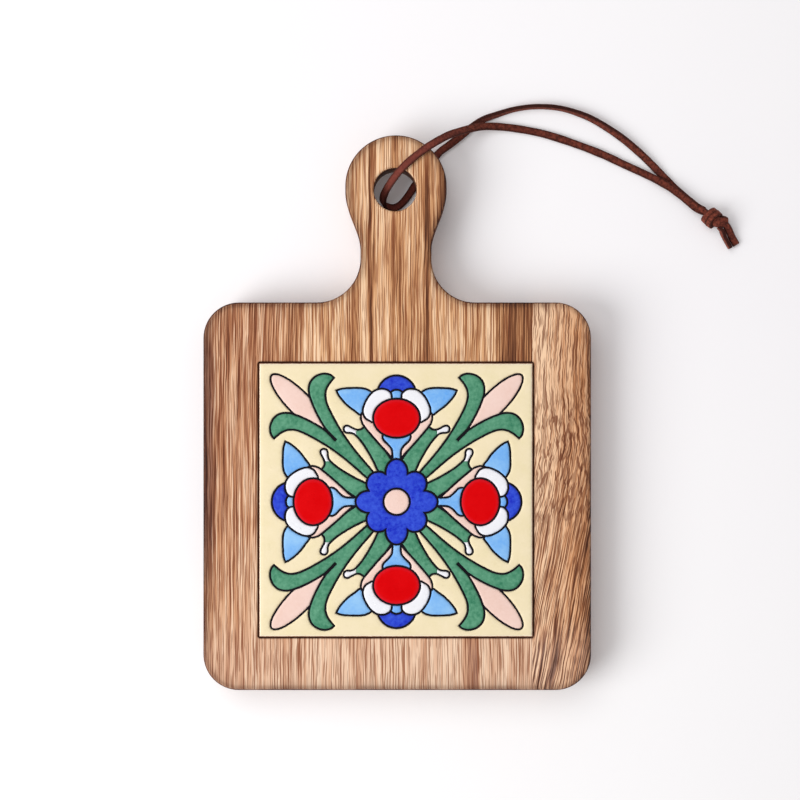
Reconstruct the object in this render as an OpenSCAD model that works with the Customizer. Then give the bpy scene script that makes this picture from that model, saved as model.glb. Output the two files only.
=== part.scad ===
// Paddle-shaped wooden trivet with an inlaid glazed tile and a hanging lace.
// The part lies flat with its face up. Its handle points along +Y.
// The origin is on the table, under the middle of the board's outline.

/* [Board] */
// Width of the square body
body_w = 153; // [136:1:200]
// Length of the square body, without the handle
body_l = 153; // [136:1:200]
// Thickness of the wood
board_t = 15; // [12:0.5:22]
// Radius of the body's corners
corner_r = 14; // [6:1:24]
// Easing along every outer edge of the wood
edge_ease = 1.2; // [0.6:0.1:2]
// Width of the strip that is glued to the right-hand edge
stave_w = 23.2; // [16:0.1:30]

/* [Handle] */
// How far the handle stands out from the body
handle_l = 66; // [60:1:90]
// Width of the round head
head_w = 40; // [34:1:48]
// Width of the neck
neck_w = 28; // [20:1:32]
// How far the handle stands left of the body's middle
handle_left = 0.5; // [0:0.1:1.5]
// Radius where the neck runs into the body
shoulder_r = 17.3; // [10:0.1:20]
// Straight stretch of the neck above that radius
neck_run = 2.7; // [1:0.1:4]
// Diameter of the hanging hole
hole_d = 17; // [12:0.5:20]
// From the top of the head to the middle of the hole
hole_inset = 21.5; // [18:0.1:24]
// How far the hanging hole sits left of the head's middle
hole_left = 0.3; // [0:0.1:2]
// Easing round both rims of the hanging hole
hole_ease = 0.8; // [0.4:0.1:1.2]

/* [Tile] */
// Side of the square tile
tile_w = 108; // [90:1:112]
// Thickness of the fired clay
tile_t = 5.5; // [4:0.5:7]
// Radius of the tile's corners
tile_corner_r = 0.6; // [0.5:0.1:3]
// Gap all round between the tile and its pocket
tile_gap = 0.5; // [0.4:0.1:1.2]
// Thickness of the adhesive under the tile
adhesive_t = 0.5; // [0.3:0.1:1]
// How far the adhesive stays back from the tile's edges
adhesive_inset = 4; // [2:0.5:8]
// How far the glaze stands above the wood
tile_rise = 0.6; // [0:0.1:1.5]
// How far the pocket lies left of the body's middle
pocket_left = 0.5; // [0:0.1:2]
// How far the pocket lies below the body's middle
pocket_down = 1.4; // [0:0.1:2]

/* [Glaze] */
// Width of the dark lines between the pools of glaze
line_w = 0.8; // [0.5:0.1:1.2]
// Thickness of the dark ground that shows as those lines
ground_t = 0.15; // [0.1:0.05:0.3]
// How far the dark ground stays back from the tile's edges
ground_inset = 1.5; // [1:0.1:2]
// Height of the pools above the dark ground
pool_h = 0.5; // [0.3:0.1:1]
// How far the glaze stays back from the tile's edges
glaze_inset = 0.3; // [0.1:0.1:0.6]
// How far the drawing sits right of the tile's middle
print_right = 0.3; // [0:0.1:1]
// How far the drawing sits below the tile's middle
print_down = 0.7; // [0:0.1:1.5]

/* [Feet] */
// Diameter of the stick-on feet
foot_d = 10; // [8:0.5:14]
// Height of the feet
foot_h = 2; // [2:0.1:5]
// From the body's edges to the middle of a foot
foot_inset = 16; // [12:1:24]
// Easing round the bottom of a foot
foot_ease = 0.6; // [0.3:0.1:1]

/* [Lace] */
// Width of the flat lace
lace_w = 3; // [2:0.1:3.4]
// Thickness of the flat lace
lace_t = 1.5; // [1:0.1:1.6]
// Length of the knot, along the lace
knot_l = 10.6; // [9:0.1:12]
// Diameter of the knot across its fuller wrap
knot_d = 7.8; // [7.4:0.1:9]
// Height of the knot's middle above the table
knot_rise = 3.4; // [3.4:0.1:4]

/* [Hidden] */
$fn = 48;

// How far a cut runs past what it cuts
overrun = 1;
quarter = 90;
half_turn = 180;
// Segments in a quarter of a rounded edge, in a corner and in the flare of the neck
ease_steps = 3;
corner_steps = 8;
flare_steps = 12;

// Heights above the table
board_z = foot_h;
board_top = board_z + board_t;
pocket_d = tile_t + adhesive_t + ground_t + pool_h - tile_rise;
pocket_z = board_top - pocket_d;
tile_z = pocket_z + adhesive_t;
tile_top = tile_z + tile_t;

// Places along the board
total_l = body_l + handle_l;
head_y = total_l / 2;
shoulder_y = head_y - handle_l;
foot_edge_y = -total_l / 2;
hole_x = -handle_left - hole_left;
hole_y = head_y - hole_inset;
tile_x = -pocket_left;
tile_y = shoulder_y - body_l / 2 - pocket_down;

// Points on an arc about [x, y], from angle a to angle b
function arc(x, y, r, a, b, steps) = [for (i = [0:steps])
    let (t = a + (b - a) * i / steps)
    [x + r * cos(t), y + r * sin(t)]];

function backwards(list) = [for (i = [len(list) - 1:-1:0]) list[i]];

function mirrored(list) = [for (p = list) [-p[0], p[1]]];

// A square with rounded corners about the origin
function soft_square(side, r) = let (c = side / 2 - r)
    [for (k = [0:3])
        each [for (p = arc(c, c, r, 0, quarter, corner_steps))
            [p[0] * cos(k * quarter) - p[1] * sin(k * quarter),
             p[0] * sin(k * quarter) + p[1] * cos(k * quarter)]]];

// The neck widens into the head along half a cosine wave
cheek_share = 0.12;
flare_low = shoulder_y + shoulder_r + neck_run;
flare_high = head_y - head_w / 2 * (1 + cheek_share);
function neck_flare(d) = [for (i = [0:flare_steps])
    let (rise = (1 - cos(half_turn * i / flare_steps)) / 2)
    [neck_w / 2 + (head_w - neck_w) / 2 * rise - d,
     flare_low + (flare_high - flare_low) * i / flare_steps]];

// Right half of the body's outline and of the handle's, both from the bottom up, moved inward by d
function body_side(d) = let (x = body_w / 2 - corner_r)
    concat(arc(x, foot_edge_y + corner_r, corner_r - d, -quarter, 0, corner_steps),
           arc(x, shoulder_y - corner_r, corner_r - d, 0, quarter, corner_steps));
function handle_side(d) = concat(
    arc(neck_w / 2 + shoulder_r, shoulder_y + shoulder_r, shoulder_r + d, -quarter, -half_turn, corner_steps),
    neck_flare(d),
    arc(0, head_y - head_w / 2, head_w / 2 - d, 0, quarter, 2 * corner_steps));

// The whole outline as pairs of points, left and right, so that flat faces can be laid between them
body_n = len(body_side(0));
side_n = body_n + len(handle_side(0)) - 1;
function side(d, aside) = let (all = concat(body_side(d), [for (p = handle_side(d)) p + [aside, 0]]))
    [for (i = [0:side_n - 1]) all[i]];
function ring(d) = concat(side(d, -handle_left), [[-handle_left, head_y - d]],
    backwards(mirrored(side(d, handle_left))));
ring_n = 2 * side_n + 1;

// Inset and height of each ring of the board's skin, from the underside to the face
skin_rings = concat(
    [for (i = [0:ease_steps]) let (t = quarter * i / ease_steps)
        [edge_ease * (1 - sin(t)), board_z + edge_ease * (1 - cos(t))]],
    [for (i = [ease_steps:-1:0]) let (t = quarter * i / ease_steps)
        [edge_ease * (1 - sin(t)), board_top - edge_ease * (1 - cos(t))]]);

// One flat face of the skin in three and four-sided pieces; base is the first point's number
function flat_face(base) = concat(
    [for (i = [0:side_n - 2]) if (i != body_n - 1)
        let (left = ring_n - 1)
        i == body_n - 2
            ? [base + i, base + i + 1, base + i + 2, base + left - i - 2, base + left - i - 1, base + left - i]
            : [base + i, base + i + 1, base + left - i - 1, base + left - i]],
    [[base + side_n - 1, base + side_n, base + side_n + 1]]);

module board_skin() {
    points = [for (r = skin_rings) each [for (p = ring(r[0])) [p[0], p[1], r[1]]]];
    last = len(skin_rings) - 1;
    walls = [for (k = [0:last - 1]) each [for (i = [0:ring_n - 1])
        let (j = (i + 1) % ring_n)
        [k * ring_n + i, (k + 1) * ring_n + i, (k + 1) * ring_n + j, k * ring_n + j]]];
    polyhedron(points = points, convexity = 6, faces = concat(
        flat_face(0),
        walls,
        [for (f = flat_face(last * ring_n)) backwards(f)]));
}

module tile_pocket() {
    translate([tile_x, tile_y, pocket_z])
        linear_extrude(pocket_d + overrun)
            polygon(soft_square(tile_w + 2 * tile_gap, tile_corner_r + tile_gap));
}

module hanging_hole() {
    translate([hole_x, hole_y, board_z - overrun])
        cylinder(d = hole_d, h = board_t + 2 * overrun);
    for (face = [0, 1])
        translate([hole_x, hole_y, face * (board_z + board_top)])
            mirror([0, 0, face])
                translate([0, 0, board_z - overrun])
                    cylinder(r1 = hole_d / 2 + hole_ease + overrun, r2 = hole_d / 2, h = hole_ease + overrun);
}

// Everything to the right of the glue line
module stave_side() {
    translate([body_w / 2 - stave_w, foot_edge_y - overrun, 0])
        cube([stave_w + overrun, total_l + 2 * overrun, board_top + overrun]);
}

module main_plank() {
    color("burlywood")
        difference() {
            board_skin();
            stave_side();
            tile_pocket();
            hanging_hole();
        }
}

module side_stave() {
    color("tan")
        difference() {
            intersection() {
                board_skin();
                stave_side();
            }
            tile_pocket();
        }
}

module tile_body() {
    color("linen")
        translate([tile_x, tile_y, tile_z])
            linear_extrude(tile_t)
                polygon(soft_square(tile_w, tile_corner_r));
}

module adhesive_bed() {
    color("gainsboro")
        translate([tile_x, tile_y, pocket_z])
            linear_extrude(adhesive_t)
                polygon(soft_square(tile_w - 2 * adhesive_inset, adhesive_inset));
}

module ground_sheet() {
    translate([tile_x, tile_y, tile_top])
        linear_extrude(ground_t)
            polygon(soft_square(tile_w - 2 * ground_inset, tile_corner_r));
}

module line_ground() {
    color("black") ground_sheet();
}

// The drawing. All its points are shares of half the tile's side, from the middle of the drawing.
// Each list is the right half of a motif that grows upward, unless its comment says otherwise.
unit = tile_w / 2;
curve_steps = 3;
oval_steps = 40;

// A smooth curve through the points, without its last one
function curve(p) = let (n = len(p) - 1)
    [for (i = [0:n - 1]) each
        [for (s = [0:curve_steps - 1])
            let (t = s / curve_steps, a = p[max(i - 1, 0)], b = p[i], c = p[i + 1], d = p[min(i + 2, n)])
            (2 * b + (c - a) * t + (2 * a - 5 * b + 4 * c - d) * t * t
                + (3 * b - a - 3 * c + d) * t * t * t) / 2]];

// Several curves end to end, which meet in corners
function strokes(list) = [for (p = list) each curve(p)];

// A closed outline from its right half, which runs from the top down
function both_sides(p) = let (half = concat(curve(p), [p[len(p) - 1]]))
    concat(half, backwards(mirrored(half)));

// The caps, petals, blades and buds are drawn a little narrower across the board than along it
narrow_share = 0.988;
petal_shares = [[0.035, 0.75], [0.04, 0.79], [0.07, 0.817], [0.115, 0.825], [0.165, 0.81], [0.212, 0.762],
    [0.243, 0.7], [0.25, 0.655], [0.235, 0.615], [0.205, 0.593], [0.17, 0.58], [0.1, 0.6], [0.035, 0.75]];
wing_shares = [[[0.17, 0.79], [0.21, 0.818], [0.26, 0.83], [0.34, 0.83], [0.4, 0.825], [0.44, 0.812]],
    [[0.44, 0.812], [0.425, 0.78], [0.395, 0.74], [0.35, 0.695], [0.305, 0.663], [0.26, 0.632], [0.2, 0.65],
     [0.17, 0.79]]];
cup_side_shares = [[0.23, 0.66], [0.255, 0.645], [0.261, 0.615], [0.255, 0.585], [0.235, 0.548],
    [0.137, 0.432], [0.04, 0.325], [0.02, 0.28]];
calyx_side_shares = [[0.09, 0.52], [0.103, 0.478], [0.094, 0.448], [0.065, 0.42], [0.04, 0.39],
    [0.031, 0.355], [0.031, 0.27]];
leaf_shares = [[[0.02, 0.28], [0.08, 0.37], [0.15, 0.46], [0.22, 0.535], [0.235, 0.55]],
    [[0.235, 0.55], [0.26, 0.53], [0.29, 0.526], [0.32, 0.538], [0.345, 0.552]],
    [[0.345, 0.552], [0.36, 0.556], [0.375, 0.553], [0.385, 0.54], [0.386, 0.525], [0.378, 0.51],
     [0.362, 0.503], [0.34, 0.503]],
    [[0.34, 0.503], [0.31, 0.494], [0.28, 0.466], [0.245, 0.422], [0.207, 0.362], [0.168, 0.292],
     [0.132, 0.215], [0.08, 0.12]],
    [[0.08, 0.12], [0.02, 0.28]]];
// The pale end of the small leaf lies in a box: its lower left corner and its size
stamen_box_shares = [[0.295, 0.47], [0.12, 0.12]];
// The blade above the diagonal, from the middle of the drawing to its tip and back to the diagonal
blade_shares = [[[0.09, 0.11], [0.175, 0.22], [0.227, 0.28], [0.293, 0.357], [0.358, 0.441], [0.418, 0.531],
     [0.473, 0.627], [0.513, 0.711], [0.526, 0.769], [0.521, 0.815], [0.499, 0.86], [0.462, 0.905]],
    [[0.462, 0.905], [0.485, 0.925], [0.522, 0.935], [0.563, 0.931], [0.604, 0.912], [0.635, 0.878],
     [0.648, 0.837], [0.647, 0.79], [0.635, 0.748], [0.61, 0.685], [0.575, 0.615], [0.541, 0.557],
     [0.51, 0.51]]];
// The cleft between the two blades, along the diagonal: from, to and width
cleft_shares = [0.64, 0.76, 0.008];
// The bud between the blades: distance along the diagonal, half length and half width
bud_shares = [1.019, 0.287, 0.085];
// Ovals of the flower: height of the middle, half width and half height
heart_shares = [0.61, 0.172, 0.143];
cap_shares = [0.777, 0.1455, 0.1455];
brow_shares = [0.775, 0.05, 0.043];
// Lobes of the rosette in the middle: the distance out, half width and half length
lobe_shares = [0.213, 0.0815, 0.1];
side_lobe_shares = [0.2, 0.0815, 0.1];
corner_lobe_shares = [0.186, 0.089, 0.089];
core_share = 0.2;
eye_share = 0.096;

module oval(w, h) {
    polygon([for (i = [0:oval_steps - 1]) let (t = 2 * half_turn * i / oval_steps) [w * cos(t), h * sin(t)]]);
}

module oval_up(shares) {
    translate([0, shares[0]]) oval(shares[1], shares[2]);
}

// Draws a motif at each of the four quarter turns, at its real size; wide squeezes the drawing across
module all_round(wide = 1) {
    scale([wide, 1])
        for (k = [0:3]) rotate(k * quarter) scale(unit) children();
}

module and_mirror() {
    children();
    mirror([1, 0]) children();
}

module petals() {
    all_round(narrow_share) and_mirror() polygon(curve(petal_shares));
}

module caps() {
    all_round(narrow_share) oval_up(cap_shares);
}

module brows() {
    all_round(narrow_share) oval_up(brow_shares);
}

module buds() {
    all_round(narrow_share)
        rotate(quarter / 2) translate([bud_shares[0], 0]) oval(bud_shares[1], bud_shares[2]);
}

module blades() {
    upper = strokes(blade_shares);
    all_round(narrow_share)
        difference() {
            polygon(concat(upper, backwards([for (p = upper) [p[1], p[0]]])));
            rotate(quarter / 2)
                translate([cleft_shares[0], -cleft_shares[2] / 2])
                    square([cleft_shares[1] - cleft_shares[0], cleft_shares[2]]);
        }
}

module wings() {
    all_round() and_mirror() polygon(strokes(wing_shares));
}

module cups() {
    all_round() polygon(both_sides(cup_side_shares));
}

module calyxes() {
    all_round() polygon(both_sides(calyx_side_shares));
}

module hearts() {
    all_round() oval_up(heart_shares);
}

module leaves() {
    all_round() and_mirror() polygon(strokes(leaf_shares));
}

module eye() {
    scale(unit) oval(eye_share, eye_share);
}

module rosette() {
    scale(unit) {
        for (k = [0:3]) {
            rotate(k * quarter) oval_up(k % 2 == 0 ? lobe_shares : side_lobe_shares);
            rotate((k + 1 / 2) * quarter) oval_up(corner_lobe_shares);
        }
        oval(core_share, core_share);
    }
}

// Raises the fields of one colour as pools: half a line's width back from every line, from height z up
module pools(z) {
    translate([tile_x + print_right, tile_y - print_down, z])
        linear_extrude(tile_top + ground_t + pool_h - z)
            offset(delta = -line_w / 2)
                children();
}

// The boxes round the pale ends of the small leaves; extra lets a cut run past both faces
module stamen_zone(extra) {
    translate([tile_x + print_right, tile_y - print_down, tile_top - extra])
        linear_extrude(ground_t + pool_h + 2 * extra)
            all_round()
                and_mirror()
                    translate(stamen_box_shares[0])
                        square(stamen_box_shares[1]);
}

module glaze_cream() {
    side = tile_w - 2 * glaze_inset + line_w;
    color("moccasin")
        difference() {
            pools(tile_top)
                difference() {
                    translate([-print_right, print_down]) polygon(soft_square(side, tile_corner_r));
                    wings();
                    caps();
                    petals();
                    cups();
                    leaves();
                    buds();
                    blades();
                    rosette();
                }
            ground_sheet();
        }
}

module glaze_green() {
    color("seagreen") {
        difference() {
            pools(tile_top + ground_t)
                difference() {
                    leaves();
                    cups();
                    rosette();
                }
            stamen_zone(overrun);
        }
        pools(tile_top + ground_t)
            difference() {
                blades();
                rosette();
            }
    }
}

module glaze_red() {
    color("red") pools(tile_top + ground_t) hearts();
}

module glaze_cobalt() {
    color("royalblue")
        pools(tile_top + ground_t) {
            difference() {
                caps();
                brows();
                petals();
                hearts();
            }
            difference() {
                rosette();
                eye();
            }
        }
}

module glaze_sky() {
    color("lightskyblue")
        pools(tile_top + ground_t) {
            difference() {
                wings();
                caps();
                petals();
                cups();
            }
            difference() {
                brows();
                petals();
                hearts();
            }
            difference() {
                calyxes();
                hearts();
                rosette();
            }
        }
}

module glaze_white() {
    color("white") {
        pools(tile_top + ground_t)
            difference() {
                petals();
                hearts();
            }
        intersection() {
            pools(tile_top + ground_t) leaves();
            stamen_zone(0);
        }
    }
}

module glaze_blush() {
    color("mistyrose")
        pools(tile_top + ground_t) {
            difference() {
                cups();
                calyxes();
                petals();
                hearts();
                rosette();
            }
            difference() {
                buds();
                blades();
            }
            eye();
        }
}

// A stick-on foot under one corner of the body; sx and sy are 1 or -1
module foot(sx, sy) {
    x = body_w / 2 - foot_inset;
    y = body_l / 2 - foot_inset;
    color("whitesmoke")
        translate([sx * x, shoulder_y - body_l / 2 + sy * y, 0])
            rotate_extrude()
                polygon([[0, 0], [foot_d / 2 - foot_ease, 0], [foot_d / 2, foot_ease], [foot_d / 2, foot_h],
                    [0, foot_h]]);
}

// The knot in the doubled lace: its middle, and the direction of its axis from +X towards +Y
knot_x = 127.3;
knot_y = 77.5;
knot_turn = -39;
// Radii of the knot as shares of its largest, at shares of its length
knot_profile_shares = [[0, 0.72], [0.08, 0.86], [0.2, 0.98], [0.32, 0.96], [0.42, 0.84], [0.52, 0.88],
    [0.66, 1], [0.8, 0.97], [0.92, 0.84], [1, 0.72]];
// How much of the lace's corners is cut away, as a share of its thickness
lace_corner_share = 0.23;

function unit_vector(v) = v / norm(v);
knot_axis = [cos(knot_turn), sin(knot_turn), 0];
knot_side = [-sin(knot_turn), cos(knot_turn), 0];

// A place on an end face of the knot: end is -1 or 1, side and up lead away from its middle
function knot_face(end, side, up) =
    [knot_x, knot_y, knot_rise + up] + knot_axis * end * knot_l / 2 + knot_side * side;

// The lace. Each row is a point of its middle line, then the direction that its outer face looks in:
// an angle about the upright, from +X towards +Y, and a height above the table's plane, in degrees.
// It lies flat over the handle, drops through the hole, turns, and runs back under the handle on the table.
// Near the knot the two strands lie one on the other.
loop_route = [
    concat(knot_face(-1, -0.3, 0.8), [51, 84]),
    [120.2, 82, 3.3, 51, 88],
    [117.4, 84.5, 2.6, 51, 90],
    [114.4, 87, 2.5, 51, 90],
    [111, 89.6, 2.4, 55, 90],
    [106.8, 92.2, 2.3, 60, 90],
    [102.6, 94.6, 1.5, 63, 90],
    [97.8, 97, 0.8, 65, 90],
    [91.4, 99.9, 0.8, 65, 90],
    [84.9, 103, 0.8, 66, 90],
    [78.2, 105.8, 0.8, 68, 90],
    [71.7, 108.2, 0.8, 70, 90],
    [65.3, 110.4, 0.8, 72, 90],
    [58.8, 112.3, 0.8, 75, 90],
    [52.7, 113.6, 0.8, 79, 90],
    [46.2, 114.6, 1, 84, 88],
    [39.7, 115.1, 1.8, 80, 82],
    [34.2, 114.8, 3.6, 60, 74],
    [29.1, 113.5, 6.6, 45, 62],
    [25, 111.9, 10.2, 35, 52],
    [20.9, 110.1, 13.8, 30, 52],
    [17.4, 108, 16.6, 32, 66],
    [14.5, 106.2, 17.9, 40, 82],
    [11.4, 104.2, 18.2, 50, 90],
    [8.3, 101.9, 18.2, 50, 90],
    [5.1, 99.3, 18.2, 50, 90],
    [2.5, 96.9, 18, 228, 84],
    [0.4, 94.7, 17.1, 228, 68],
    [-1.6, 92.3, 15.2, 228, 50],
    [-3.3, 90.1, 12.6, 230, 38],
    [-4.7, 88, 9.8, 230, 28],
    [-5.6, 86, 6.9, 228, 14],
    [-5.7, 84.4, 4.3, 226, -6],
    [-4.9, 83.2, 2.2, 225, -42],
    [-3.2, 82.6, 1, 225, -76],
    [-1, 82.5, 0.8, 225, -90],
    [1.5, 83.9, 0.8, 225, -90],
    [4.1, 86.9, 0.8, 225, -90],
    [6.9, 91.1, 0.8, 225, -90],
    [10.2, 96, 0.8, 225, -90],
    [13.6, 100.6, 0.8, 225, -90],
    [17, 104.8, 0.8, 225, -90],
    [21, 107.8, 0.9, 130, -82],
    [25.2, 111, 1.3, 128, -66],
    [29.6, 114.6, 1.5, 125, -50],
    [34.3, 117.8, 1.6, 120, -34],
    [39.8, 119.8, 1.7, 112, -22],
    [46.2, 121.8, 1.7, 105, -14],
    [52.7, 122.9, 1.7, 98, -10],
    [58.8, 123.1, 1.7, 90, -10],
    [65.3, 122.5, 1.7, 80, -12],
    [71.7, 120.8, 1.7, 72, -18],
    [78.2, 118.2, 1.7, 65, -28],
    [84.9, 114.3, 1.6, 58, -38],
    [91.4, 109.8, 1.5, 53, -50],
    [97.8, 104.4, 1.2, 48, -66],
    [101.9, 100.5, 1, 46, -78],
    [106, 96.3, 0.8, 45, -90],
    [109.4, 92.8, 0.8, 47, -90],
    [112.2, 90, 0.8, 49, -90],
    [115, 87.6, 0.8, 51, -90],
    [117.9, 85.1, 0.9, 51, -90],
    [120.6, 82.8, 1.6, 51, -88],
    concat(knot_face(-1, 0.3, -0.8), [51, -84])];
tail_1_route = [
    concat(knot_face(1, 1.1, 0.2), [51, 90]),
    [133.6, 72.7, 2.4, 42, 88],
    [135, 70.1, 1.4, 38, 86],
    [136.6, 67.6, 0.8, 38, 90]];
tail_2_route = [
    concat(knot_face(1, -1.7, 0), [231, 4]),
    [131.2, 71.1, 2.6, 218, 4],
    [132.6, 68.7, 2, 216, 4],
    [134.1, 66.2, 1.6, 216, 4]];

function point_of(row) = [row[0], row[1], row[2]];
function face_of(row) = [cos(row[3]) * cos(row[4]), sin(row[3]) * cos(row[4]), sin(row[4])];

// The lace's cross-section, as places across its width and through its thickness
function lace_section() = let (w = lace_w / 2, t = lace_t / 2, c = lace_t * lace_corner_share)
    [[w, c - t], [w, t - c], [w - c, t], [c - w, t], [-w, t - c], [-w, c - t], [c - w, -t], [w - c, -t]];

// Which way the lace runs at row i; first and last give the direction at its ends
function heading(route, i, first, last) =
    i == 0 ? first
    : i == len(route) - 1 ? last
    : unit_vector(unit_vector(point_of(route[i + 1]) - point_of(route[i]))
        + unit_vector(point_of(route[i]) - point_of(route[i - 1])));

// The way that a route points at its last row
function far_heading(route) = let (n = len(route) - 1)
    unit_vector(point_of(route[n]) - point_of(route[n - 1]));

module lace(route, first, last) {
    section = lace_section();
    n = len(section);
    rows = len(route);
    points = [for (i = [0:rows - 1])
        let (t = heading(route, i, first, last),
             across = unit_vector(cross(t, face_of(route[i]))),
             out = cross(across, t))
        each [for (s = section) point_of(route[i]) + across * s[0] + out * s[1]]];
    walls = [for (k = [0:rows - 2]) each [for (i = [0:n - 1])
        let (a = k * n + i, b = k * n + (i + 1) % n)
        each [[a, b, b + n], [a, b + n, a + n]]]];
    polyhedron(points = points, convexity = 8, faces = concat(
        [[for (i = [n - 1:-1:0]) i]],
        walls,
        [[for (i = [0:n - 1]) (rows - 1) * n + i]]));
}

module lace_loop() {
    color("saddlebrown") lace(loop_route, -knot_axis, knot_axis);
}

module tail(route) {
    color("saddlebrown") lace(route, knot_axis, far_heading(route));
}

module knot() {
    color("sienna")
        difference() {
            translate([knot_x, knot_y, knot_rise])
                rotate([0, quarter, knot_turn])
                    translate([0, 0, -knot_l / 2])
                        rotate_extrude()
                            polygon(concat([[0, 0]],
                                [for (s = knot_profile_shares) [s[1] * knot_d / 2, s[0] * knot_l]],
                                [[0, knot_l]]));
            translate([knot_x - knot_l, knot_y - knot_l, -knot_d])
                cube([2 * knot_l, 2 * knot_l, knot_d]);
        }
}

main_plank();
side_stave();
tile_body();
adhesive_bed();
line_ground();
glaze_cream();
glaze_green();
glaze_red();
glaze_cobalt();
glaze_sky();
glaze_white();
glaze_blush();
foot(1, 1);  // foot_1
foot(-1, 1);  // foot_2
foot(-1, -1);  // foot_3
foot(1, -1);  // foot_4
lace_loop();
knot();
tail(tail_1_route);  // tail_1
tail(tail_2_route);  // tail_2
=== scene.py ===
# %% [markdown]
# A paddle-shaped wooden trivet with a glazed tile let into its face, and a flat suede lace through its handle.
# The solid parts come ready-made from a frame: every piece has its place and size there, in metres. This lesson
# dresses them. The board, the pools of glaze, the lace and its knot get finer meshes of their own, and each
# surface gets a material made of nodes, with no pictures.

# %% Load the frame
from math import ceil, cos, pi, radians, sin, sqrt
import bmesh
import bpy
import numpy as np
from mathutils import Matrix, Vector, geometry, kdtree, noise


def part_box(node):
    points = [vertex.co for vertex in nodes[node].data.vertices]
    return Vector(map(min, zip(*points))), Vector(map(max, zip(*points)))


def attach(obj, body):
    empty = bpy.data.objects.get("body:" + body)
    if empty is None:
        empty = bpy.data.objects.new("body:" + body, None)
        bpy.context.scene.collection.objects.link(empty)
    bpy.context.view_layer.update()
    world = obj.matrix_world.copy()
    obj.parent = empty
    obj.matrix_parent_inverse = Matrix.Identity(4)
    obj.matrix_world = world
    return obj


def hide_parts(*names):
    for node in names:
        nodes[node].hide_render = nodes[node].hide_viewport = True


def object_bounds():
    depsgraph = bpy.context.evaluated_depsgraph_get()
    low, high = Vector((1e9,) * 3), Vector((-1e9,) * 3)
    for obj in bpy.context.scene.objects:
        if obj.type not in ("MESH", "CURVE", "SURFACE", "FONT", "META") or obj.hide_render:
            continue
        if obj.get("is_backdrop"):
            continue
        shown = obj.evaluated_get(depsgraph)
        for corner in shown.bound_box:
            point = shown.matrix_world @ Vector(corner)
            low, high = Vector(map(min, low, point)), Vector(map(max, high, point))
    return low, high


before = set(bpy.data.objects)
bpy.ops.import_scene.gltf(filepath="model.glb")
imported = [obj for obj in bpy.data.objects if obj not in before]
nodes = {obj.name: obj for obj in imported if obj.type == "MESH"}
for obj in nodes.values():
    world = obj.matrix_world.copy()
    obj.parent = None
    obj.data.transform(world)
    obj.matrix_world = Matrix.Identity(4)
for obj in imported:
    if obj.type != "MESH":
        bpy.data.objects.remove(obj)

MM = 0.001
noise.seed_set(7)  # without a seed, each run would draw another unsteady hand
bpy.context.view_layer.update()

# %% [markdown]
# The photograph looks straight down. A long lens from 73 cm up shows the board's top a little larger than its
# underside, as it does in the photograph, so the camera stands there and not further away. It isn't tilted,
# and its middle is just beside the middle of the board.

# %% Camera
def new_object(name, data):
    """An object in the scene, made from its data."""
    made = bpy.data.objects.new(name, data)
    bpy.context.scene.collection.objects.link(made)
    return made


camera = new_object("camera", bpy.data.cameras.new("camera"))
camera.data.sensor_width = 36
camera.data.lens = 81.4
camera.data.clip_start = 0.01
camera.location = (0.0011, 0.0050, 0.730)
bpy.context.scene.camera = camera
print("camera height in mm:", round(camera.location.z / MM))

# %% [markdown]
# The lace is a flat strip of suede, 3 mm wide and 1.5 mm thick. It leaves the knot, lies on the table, climbs
# over the handle, drops through the hole and comes back under the handle. A curve with a bevel could draw it,
# but a flat strip also needs to be told which way it faces, so it is swept as a mesh: each row of the route
# is a point and the direction in which the outer face looks. The cut sides of suede are darker than its
# faces, and they also take painted shade for the creases between strands, so the mesh notes, point by point,
# where its cut sides are.

# %% The lace's route
# Each row: x, y and z in mm, then the outer face's angle about the upright and its height, in degrees
knot_middle = Vector((127.3, 77.5, 3.4))
knot_turn = radians(-39)
knot_length = 10.6
along_knot = Vector((cos(knot_turn), sin(knot_turn), 0))
across_knot = Vector((-sin(knot_turn), cos(knot_turn), 0))


def in_knot(u, v, w):
    """A place in the knot, from its own three directions."""
    return knot_middle + along_knot * u + across_knot * v + Vector((0, 0, w))


def knot_face(end, side, up):
    """A place on an end of the knot."""
    return list(in_knot(end * knot_length / 2, side, up))


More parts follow.
